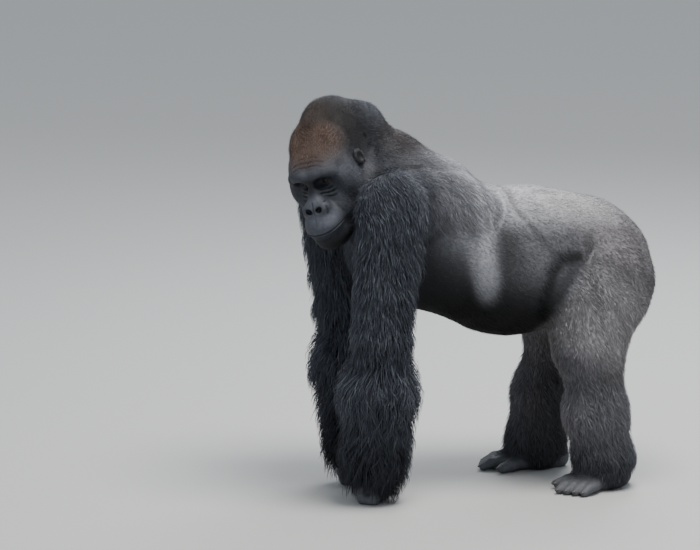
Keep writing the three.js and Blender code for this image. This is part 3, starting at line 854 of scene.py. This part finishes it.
# painted shade: the hide under the darker coats is dimmed more, so that gaps between the locks look shadowed
under_coat *= 0.3 + 0.5 * smooth_step(0.05, 0.22, under_coat.mean(1, keepdims=True))
tone = bare[:, None] * bare_colour + (1 - bare[:, None]) * under_coat
tone = tone * (1 - FOLD_SHADE * np.clip(fold_shade_and_highlight, -0.25, 1))[:, None]
with_vertex_values(skin.data, "marking", "FLOAT_COLOR", opaque(tone))
with_vertex_values(skin.data, "bare", "FLOAT", bare)


class Wire:
    """A shader value. Arithmetic on it adds Math nodes; node() adds any other node."""

    def __init__(self, tree, socket=None):
        self.tree, self.socket = tree, socket

    def node(self, kind, output=0, settings=None, inputs=None):
        made = self.tree.nodes.new(kind)
        for key, value in (settings or {}).items():
            if key == "stops":
                while len(made.color_ramp.elements) > len(value):
                    made.color_ramp.elements.remove(made.color_ramp.elements[-1])
                while len(made.color_ramp.elements) < len(value):
                    made.color_ramp.elements.new(1)
                for element, (position, colour) in zip(made.color_ramp.elements, value):
                    element.position, element.color = position, colour
            else:
                setattr(made, key, value)
        for key, value in (inputs or {}).items():
            if isinstance(value, Wire):
                self.tree.links.new(value.socket, made.inputs[key])
            else:
                made.inputs[key].default_value = value
        return Wire(self.tree, made.outputs[output])

    def maths(self, operation, other, turned=False):
        values = (other, self) if turned else (self, other)
        return self.node("ShaderNodeMath", 0, {"operation": operation}, dict(enumerate(values)))

    def __add__(self, other):
        return self.maths("ADD", other)

    def __sub__(self, other):
        return self.maths("SUBTRACT", other)

    def __rsub__(self, other):
        return self.maths("SUBTRACT", other, True)

    def __truediv__(self, other):
        return self.maths("DIVIDE", other)

    def __rtruediv__(self, other):
        return self.maths("DIVIDE", other, True)

    def __mul__(self, other):
        return self.maths("MULTIPLY", other)

    __radd__, __rmul__ = __add__, __mul__


def placed(name, made, finish):
    """A smooth object in the scene, from a finished bmesh."""
    for face in made.faces:
        face.smooth = True
    mesh = bpy.data.meshes.new(name)
    made.to_mesh(mesh)
    made.free()
    mesh.materials.append(finish)
    piece = bpy.data.objects.new(name, mesh)
    bpy.context.scene.collection.objects.link(piece)
    return piece


def finish_named(name):
    """An empty material, and the wire that its nodes are added with."""
    material = bpy.data.materials.new(name)
    material.use_nodes = True
    material.node_tree.nodes.clear()
    return material, Wire(material.node_tree)


def end_with(wire, **inputs):
    """The material's surface, from values for its shader's sockets."""
    shader = wire.node("ShaderNodeBsdfPrincipled", 0, {}, {k.replace("_", " "): v for k, v in inputs.items()})
    output = wire.tree.nodes.new("ShaderNodeOutputMaterial")
    wire.tree.links.new(shader.socket, output.inputs["Surface"])


def value_of(wire, name, output="Fac"):
    return wire.node("ShaderNodeAttribute", output, {"attribute_name": name})


def noise_at(spot, scale, detail, **more):
    inputs = {"Vector": spot, "Scale": scale, "Detail": detail, **more}
    return spot.node("ShaderNodeTexNoise", "Fac", {}, inputs)


def flecked(marking, amount, noise, low, high, dimmest):
    """The marking, dimmed where the noise is low."""
    stops = [(low, (dimmest, dimmest, dimmest, 1)), (high, (1, 1, 1, 1))]
    dim = marking.node("ShaderNodeValToRGB", "Color", {"stops": stops}, {"Fac": noise})
    multiply = {"data_type": "RGBA", "blend_type": "MULTIPLY"}
    return marking.node("ShaderNodeMix", 2, multiply, {0: amount, 6: marking, 7: dim})


skin_finish, wire = finish_named("skin")
spot = wire.node("ShaderNodeTexCoord", "Object")
marking = value_of(wire, "marking", "Color")
nakedness = value_of(wire, "bare")
mottle = noise_at(spot, 90.0, 4.0)
pores = wire.node("ShaderNodeTexVoronoi", "Distance", {}, {"Vector": spot, "Scale": 420.0})
wrinkles = noise_at(spot, 260.0, 6.0, Distortion=0.6)
shade = flecked(marking, 0.55, mottle, 0.3, 0.7, 0.5)
along_body = wire.node("ShaderNodeMapping", "Vector", {}, {"Vector": spot, "Scale": (60.0, 260.0, 160.0)})
short_hair = noise_at(along_body, 1.6, 4.0)
height = nakedness * (pores * 0.5 + wrinkles) + (1 - nakedness) * short_hair * 2
relief = wire.node("ShaderNodeBump", "Normal", {}, {"Strength": 0.4, "Distance": 0.0012, "Height": height})
roughness = 0.66 - 0.14 * nakedness + 0.1 * mottle
end_with(wire, Base_Color=shade, Roughness=roughness, Specular_IOR_Level=0.22, Normal=relief)
skin.data.materials.clear()
skin.data.materials.append(skin_finish)
flesh_nodes = [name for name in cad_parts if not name.startswith("eye")]
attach(skin, "root")
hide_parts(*flesh_nodes)

# ---- Eyes ----
# Two wet eyeballs set deep under the brow, each a ball drawn out a little over its amber iris. They sit loose
# behind the lids, and their whites are dark brown.
CORNEA, IRIS, PUPIL = 30, 27, 11  # degrees from the line of sight
TONE_SPAN = 60  # degrees over which the eye's tones are laid
BULGE = 0.07
GAZE = (-1, -0.12, -0.1)  # in the head's frame
eye_finish, wire = finish_named("wet_eye")
away = value_of(wire, "away")
spot = wire.node("ShaderNodeTexCoord", "Object")
fleck = noise_at(spot, 900.0, 3.0)
outward_share = (away + 4 * fleck - 2) / TONE_SPAN
rings_of_tone = [
    (PUPIL / TONE_SPAN, (0.002, 0.002, 0.002, 1)),
    ((PUPIL + 2) / TONE_SPAN, (0.075, 0.03, 0.01, 1)),
    ((IRIS - 5) / TONE_SPAN, (0.05, 0.018, 0.007, 1)),
    (IRIS / TONE_SPAN, (0.012, 0.006, 0.004, 1)),
    (0.75, (0.016, 0.01, 0.008, 1)),
]
iris_tone = wire.node("ShaderNodeValToRGB", "Color", {"stops": rings_of_tone}, {"Fac": outward_share})
end_with(wire, Base_Color=iris_tone, Roughness=0.12, IOR=1.36)
for side, side_name in ((LEFT, "left"), (RIGHT, "right")):
    globe = bmesh.new()
    bmesh.ops.create_uvsphere(globe, u_segments=40, v_segments=24, radius=EYE_RADIUS)
    co = np.array([v.co for v in globe.verts])
    away = np.degrees(np.arccos(np.clip(co[:, 2] / EYE_RADIUS, -1, 1)))
    co = co * (1 + BULGE * (1 - smooth_step(0, CORNEA, away)))[:, None]
    aim = np.array(Vector((0, 0, 1)).rotation_difference(Vector(GAZE).normalized()).to_matrix())
    for vert, place in zip(globe.verts, to_frame(head.outward(co @ aim.T + EYE * (1, side, 1)))):
        vert.co = place
    eyeball = placed(f"eyeball_{side_name}", globe, eye_finish)
    with_vertex_values(eyeball.data, "away", "FLOAT", away)
    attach(eyeball, "root")
    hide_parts(f"eye_{side_name}")

# ---- Toenails ----
# Flat dark horn plates, one on the tip of each toe: flattened balls sunk into the hide, ridged and slightly
# glossy.
NAIL_SHAPE = (0.95, 0.85, 0.4)  # length, width and thickness, for a nail of size 1
NAIL_SLOPE = -28
nail_finish, wire = finish_named("horn")
spot = wire.node("ShaderNodeTexCoord", "Object")
ridges = noise_at(spot, 300.0, 4.0)
horn_tones = [(0.35, (0.03, 0.028, 0.027, 1)), (0.65, (0.075, 0.07, 0.067, 1))]
horn = wire.node("ShaderNodeValToRGB", "Color", {"stops": horn_tones}, {"Fac": ridges})
scratches = wire.node("ShaderNodeBump", "Normal", {}, {"Strength": 0.3, "Distance": 0.0005, "Height": ridges})
end_with(wire, Base_Color=horn, Roughness=0.32 + 0.15 * ridges, Normal=scratches)
for side, side_name in ((LEFT, "left"), (RIGHT, "right")):
    ankle, outward = legs[side][2:]
    here = turned(ankle, -outward * side)
    tips = [(here(ahead + 1, y * TOE_SPREAD, 17), 9) for y, ahead in (toe_tip(i, side) for i in range(4))]
    tips.append((here(-137, -84 * side, 22), 13))
    to_foot = Matrix.Rotation(math.radians(-outward * side), 3, "Z")
    turn = to_foot @ Matrix.Rotation(math.radians(NAIL_SLOPE), 3, "Y")
    plates = bmesh.new()
    for tip, wide in tips:
        made = bmesh.ops.create_uvsphere(plates, u_segments=16, v_segments=10, radius=1)["verts"]
        for vert in made:
            shaped = Vector([axis * wide * share for axis, share in zip(vert.co, NAIL_SHAPE)])
            vert.co = to_frame(np.array(turn @ shaped) + tip)
    toenails = placed(f"toenails_{side_name}", plates, nail_finish)
    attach(toenails, "root")

# ---- Head coat ----
# Short dense fuzz over the crown, rusty on the forehead, and short grizzled hair on the cheeks. Each lock is
# a thin three-sided taper rooted in the hide, and neighbours lean together. Its colour is the coat's marking,
# with its painted shade and highlights.
skin_mesh = skin.data
skin_mesh.calc_loop_triangles()
corner = np.empty(len(skin_mesh.loop_triangles) * 3, int)
skin_mesh.loop_triangles.foreach_get("vertices", corner)
corner = corner.reshape(-1, 3)
outward_normals = np.empty(len(skin_mesh.vertices) * 3)
skin_mesh.vertices.foreach_get("normal", outward_normals)
outward_normals = outward_normals.reshape(-1, 3)
spans = every[corner[:, 1]] - every[corner[:, 0]], every[corner[:, 2]] - every[corner[:, 0]]
hide_area = np.linalg.norm(np.cross(*spans), axis=1) / 2
hide_middle = every[corner].mean(1)
nearest = np.array([r.distance(hide_middle) for r in body])
hide_region = np.array([r.name for r in body])[nearest.argmin(0)]
hide_bare = bare[corner].mean(1)
FLOOR_CLEAR = 1.5  # no lock reaches lower than this


def waves(points, length, seed):
    """A smooth value from -1 to 1 that wanders over this length."""
    draw = np.random.default_rng(seed)
    total = 0
    for _ in range(5):
        direction = unit(draw.normal(size=3)) * 2 * math.pi / (length * draw.uniform(0.7, 1.5))
        total = total + np.sin(points @ direction + draw.uniform(0, 2 * math.pi))
    return total / 2.5


def traits_at(points):
    """The coat's traits and lie at these places, from the forms nearest to them."""
    reach, values, lies = [], [], []
    for region in body:
        q = region.inward(points)
        for form in region.forms:
            reach.append(form.distance(q))
            values.append(form.coat.traits)
            lies.append(region.turn @ form.coat.lie)
    reach = np.array(reach)
    share = np.exp(-(reach - reach.min(0)) / 9)
    share /= share.sum(0)
    return share.T @ np.array(values), unit(share.T @ np.array(lies))


def lock_shape(rings):
    """The faces of one lock, and where each face's corners lie on its patch of the map."""
    faces, spots = [], []
    for r in range(rings - 1):
        for k in range(3):
            a, b, c, d = 3 * r + k, 3 * r + (k + 1) % 3, 3 * r + 3 + (k + 1) % 3, 3 * r + 3 + k
            left, right, low, high = k / 3, (k + 1) / 3, r / rings, (r + 1) / rings
            faces += [(a, b, c), (a, c, d)]
            spots += [(left, low), (right, low), (right, high), (left, low), (right, high), (left, high)]
    for k in range(3):
        faces.append((3 * rings - 3 + k, 3 * rings - 3 + (k + 1) % 3, 3 * rings))
        spots += [(k / 3, 1 - 1 / rings), ((k + 1) / 3, 1 - 1 / rings), ((k + 0.5) / 3, 1)]
    faces.append((0, 2, 1))
    spots += [(0, 0), (0.5, 0.12), (1, 0)]
    return np.array(faces), np.array(spots)


PATCH, MAP_EDGE = 0.003, 0.001  # a lock's patch on the map, and the map's empty edge
GRIZZLED = 0.15  # share of the locks that are paler
ROOT_SHADE, TIP_SHADE = 0.55, 1.15  # of the marking's colour
CLUMP, SHORT_CLUMP = 3.2, 2.2  # a clump's size in spacings, and that of short straight locks
GATHER, SHORT_GATHER = 0.45, 0.2  # how far the tips of a clump come together


def grow(name, chosen, spacing, rings, bone, seed):
    """A coat piece: locks over the chosen faces of the hide, mapped round a bone and along it."""
    short = rings == 1
    draw = np.random.default_rng(seed)
    faces = np.flatnonzero(chosen & (hide_bare < 0.97))
    run = np.cumsum(hide_area[faces])
    count = int(run[-1] / spacing**2)
    reached = (np.arange(count) + draw.random(count)) * run[-1] / count
    at_face = faces[np.searchsorted(run, reached).clip(0, len(faces) - 1)]
    share = draw.dirichlet((1, 1, 1), count)
    root = (every[corner[at_face]] * share[:, :, None]).sum(1)
    normal = unit((outward_normals[corner[at_face]] * share[:, :, None]).sum(1))
    bald = (bare[corner[at_face]] * share).sum(1)
    kept = draw.random(count) > bald**1.5
    root, normal, bald = root[kept], normal[kept], bald[kept]
    traits, lie = traits_at(root)
    depth, length, lift, width, bend, hang, stray = traits.T
    length = length * (1 - 0.75 * bald) * (1 + 0.28 * draw.normal(size=len(root)).clip(-1.6, 2))
    length = length * (1 + 0.18 * waves(root, 90, seed + 1))
    width = width * (0.8 + 0.4 * draw.random(len(root))) * (1 - 0.4 * bald)
    lift = lift * (1 + 0.35 * draw.normal(size=len(root)).clip(-1.5, 2))
    lift = np.radians(lift * (1 + 0.3 * waves(root, 60, seed + 2)))
    along = unit(lie - (lie * normal).sum(1, keepdims=True) * normal)
    beside = np.cross(normal, along)
    wander = (stray * (1.6 * waves(root, 70, seed + 3) + draw.normal(size=len(root))))[:, None]
    along = unit(along + wander * beside)
    beside = np.cross(normal, along)
    # locks lean towards the middle of their own clump
    cell = np.floor(root / ((SHORT_CLUMP if short else CLUMP) * spacing) + draw.random(3)).astype(int)
    _, clump = np.unique(cell, axis=0, return_inverse=True)
    clump = clump.ravel()
    size = np.bincount(clump)[clump, None]
    middle = np.stack([np.bincount(clump, root[:, k])[clump] for k in range(3)], 1) / size
    gather = middle - root
    gather -= (gather * normal).sum(1, keepdims=True) * normal
    rise = np.sin(lift)[:, None] * normal
    heading = np.cos(lift)[:, None] * along + rise
    down = np.array([0.0, 0.0, -1.0])
    sink = 1.2 + 0.02 * length
    steps = np.arange(rings) / rings
    points = np.empty((len(root), 3 * rings + 1, 3))
    topmost = depth * draw.uniform(0.75, 1.1, len(root)) + 1.5
    for i, t in enumerate([*steps, 1.0]):
        spine = root - normal * sink[:, None] + length[:, None] * (
            t * heading - 0.5 * t * t * bend[:, None] * rise + 0.5 * t * t * hang[:, None] * down
        )
        spine = spine + (SHORT_GATHER if short else GATHER) * t * gather
        if i > 0:
            # it neither dives into the hide where this rises nor stands off where this falls away
            off = flesh(spine)
            most = topmost * min(1, 1.6 * t)
            least = np.minimum(0.4 + 0.3 * t * length * np.sin(lift), most)
            spine = spine + normal * (np.clip(off, least, most) - off)[:, None]
        if i == rings:
            points[:, -1] = spine
            break
        girth = (width * (0.85 if i == 0 else 1 - 0.5 * t**2) / 2)[:, None]
        for k, angle in enumerate((90, 210, 330)):
            c, s = math.cos(math.radians(angle)), math.sin(math.radians(angle))
            points[:, 3 * i + k] = spine + girth * (c * beside + s * 0.6 * normal)
    points[..., 2] = np.maximum(points[..., 2], FLOOR_CLEAR)
    template, spots = lock_shape(rings)
    per_lock = 3 * rings + 1
    locks = len(root)
    triangles = (template[None] + per_lock * np.arange(locks)[:, None, None]).reshape(-1)
    mesh = bpy.data.meshes.new(name)
    mesh.vertices.add(locks * per_lock)
    mesh.vertices.foreach_set("co", to_frame(points).astype(np.float32).ravel())
    mesh.loops.add(len(triangles))
    mesh.loops.foreach_set("vertex_index", triangles.astype(np.int32))
    mesh.polygons.add(len(triangles) // 3)
    mesh.polygons.foreach_set("loop_start", np.arange(0, len(triangles), 3, dtype=np.int32))
    mesh.polygons.foreach_set("use_smooth", np.ones(len(triangles) // 3, bool))
    # the map: round the bone across, along it up
    start, end = np.array(bone[0], float), np.array(bone[1], float)
    axis = unit(end - start)
    aside = unit(np.cross(axis, (0.3, 0.9, 0.1)))
    q = root - start
    across = np.arctan2(q @ np.cross(axis, aside), q @ aside)
    up = q @ axis
    root_uv = np.stack([(v - v.min()) / (v.max() - v.min()) for v in (across, up)], 1)
    root_uv = root_uv * (1 - 2 * MAP_EDGE - PATCH) + MAP_EDGE
    bake_map = mesh.uv_layers.new(name="OFBake")
    uv = (root_uv[:, None, :] + PATCH * spots[None]).reshape(-1)
    bake_map.data.foreach_set("uv", uv.astype(np.float32))
    mesh.update()
    # colour: the marking with its painted shade and highlights, some locks grizzled, roots dark and tips worn
    # pale
    tone = coat_colour(root)
    tone = tone * (1 + 0.24 * draw.normal(size=(locks, 1)).clip(-1.8, 2.5))
    grizzled = draw.random((locks, 1)) < GRIZZLED
    tone = np.where(grizzled, tone * 1.6 + 0.006, tone)
    height = np.repeat([*steps, 1.0], [3] * rings + [1])
    paler = ROOT_SHADE + (TIP_SHADE - ROOT_SHADE) * height
    colour = tone[:, None, :] * paler[None, :, None]
    with_vertex_values(mesh, "marking", "FLOAT_COLOR", opaque(colour.reshape(-1, 3)))
    mesh.materials.append(coat_finish)
    coat = bpy.data.objects.new(name, mesh)
    bpy.context.scene.collection.objects.link(coat)
    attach(coat, "root")


coat_finish, wire = finish_named("coat")
marking = value_of(wire, "marking", "Color")
spot = wire.node("ShaderNodeTexCoord", "Object")
streak = noise_at(spot, 700.0, 2.0)
tint = flecked(marking, 0.5, streak, 0.35, 0.65, 0.6)
end_with(wire, Base_Color=tint, Roughness=0.5 + 0.12 * streak, Specular_IOR_Level=0.14)


def by_region(*names):
    return np.isin(hide_region, names)


grow("coat_head", by_region("head"), 2.7, 1, (in_head(0, 0, -200), in_head(0, 0, 250)), 11)

# ---- Neck and trunk coats ----
# Short hair over the nape and a worn silver saddle that lies flat along the back. It is thicker on the chest,
# flanks and rump. The locks are rooted in the hide like those of the head.
grow("coat_neck", by_region("neck"), 3.3, 1, ((-480, 60, 1100), (-180, 0, 860)), 12)
fore = hide_middle[:, 0] < 0
grow("coat_chest", by_region("trunk") & fore, 4.2, 1, ((-420, 0, 820), (20, 0, 800)), 13)
grow("coat_back", by_region("trunk") & ~fore, 4.2, 1, ((-20, 0, 780), (560, 0, 740)), 14)

# ---- Arm coats ----
# Long black locks, tapered in three lengths: down the upper arm, then shaggy and spreading from the elbow to
# the knuckles.
for side, side_name in ((LEFT, "left"), (RIGHT, "right")):
    on_arm = by_region(f"arm_{side}", f"hand_{side}")
    shoulder, elbow, wrist, knuckles = arms[side]
    above = hide_middle[:, 2] > elbow[2]
    grow(f"coat_upper_arm_{side_name}", on_arm & above, 5.5, 3, (elbow, shoulder), 20 + side)
    grow(f"coat_forearm_{side_name}", on_arm & ~above, 5.3, 3, (knuckles, elbow), 30 + side)

# ---- Leg coats ----
# Grey grizzled hair on the thighs, tapered in two lengths, darker and longer down the shanks, where it skirts
# the ankles.
for side, side_name in ((LEFT, "left"), (RIGHT, "right")):
    on_leg = by_region(f"leg_{side}", f"foot_{side}")
    hip, knee, ankle = legs[side][:3]
    above = hide_middle[:, 2] > knee[2]
    grow(f"coat_thigh_{side_name}", on_leg & above, 4.3, 2, (knee, hip), 40 + side)
    grow(f"coat_shank_{side_name}", on_leg & ~above, 4.3, 2, (ankle, knee), 50 + side)

# ---- Floor, light and camera ----
# A pale plain floor, a broad soft light overhead, and a long lens from the animal's left, a little above it.
FLOOR_SIZE = 45
floor_mesh = bmesh.new()
bmesh.ops.create_grid(floor_mesh, x_segments=1, y_segments=1, size=FLOOR_SIZE)
floor_finish, wire = finish_named("floor")
end_with(wire, Base_Color=(0.4, 0.4, 0.39, 1), Roughness=0.9)
floor = placed("floor", floor_mesh, floor_finish)

world = bpy.data.worlds.new("studio")
world.use_nodes = True
world.node_tree.nodes["Background"].inputs["Color"].default_value = (0.86, 0.92, 1.0, 1)
world.node_tree.nodes["Background"].inputs["Strength"].default_value = 0.9
bpy.context.scene.world = world


def soft_light(name, place, aim, size, power, colour):
    lamp = bpy.data.lights.new(name, "AREA")
    lamp.shape, lamp.size, lamp.energy, lamp.color = "DISK", size, power, colour
    light = bpy.data.objects.new(name, lamp)
    light.location = place
    light.rotation_euler = (Vector(aim) - Vector(place)).to_track_quat("-Z", "Y").to_euler()
    bpy.context.scene.collection.objects.link(light)


# Places and sizes in metres, power in watts.
soft_light("key", (0.4, -1.4, 5.2), (0, 0, 0.7), 2.6, 400, (1, 0.97, 0.93))
soft_light("back", (1.8, 3.2, 3.6), (0, 0, 0.8), 2.4, 160, (0.95, 0.97, 1))

AZIMUTH, ELEVATION, DISTANCE = math.radians(15), math.radians(11), 20
PIXELS_PER_METRE, WIDTH, HEIGHT = 310, 700, 550
ORIGIN_ACROSS, ORIGIN_DOWN = 480, 481.5  # pixels from the view's top left corner to the part's own origin
rightward = np.array([math.cos(AZIMUTH), -math.sin(AZIMUTH), 0])
level, rise = math.cos(ELEVATION), math.sin(ELEVATION)
backward = np.array([-math.sin(AZIMUTH) * level, -math.cos(AZIMUTH) * level, rise])
upward = np.cross(backward, rightward)
centre = (rightward * (WIDTH / 2 - ORIGIN_ACROSS) + upward * (ORIGIN_DOWN - HEIGHT / 2)) / PIXELS_PER_METRE
lens = bpy.data.cameras.new("camera")
lens.sensor_width = 36
lens.lens = lens.sensor_width * DISTANCE * PIXELS_PER_METRE / WIDTH
lens.clip_end = 200
camera = bpy.data.objects.new("camera", lens)
camera.matrix_world = Matrix(np.column_stack([rightward, upward, backward]).tolist()).to_4x4()
camera.location = centre + backward * DISTANCE + ORIGIN * MM
bpy.context.scene.collection.objects.link(camera)
bpy.context.scene.camera = camera

bpy.context.view_layer.update()
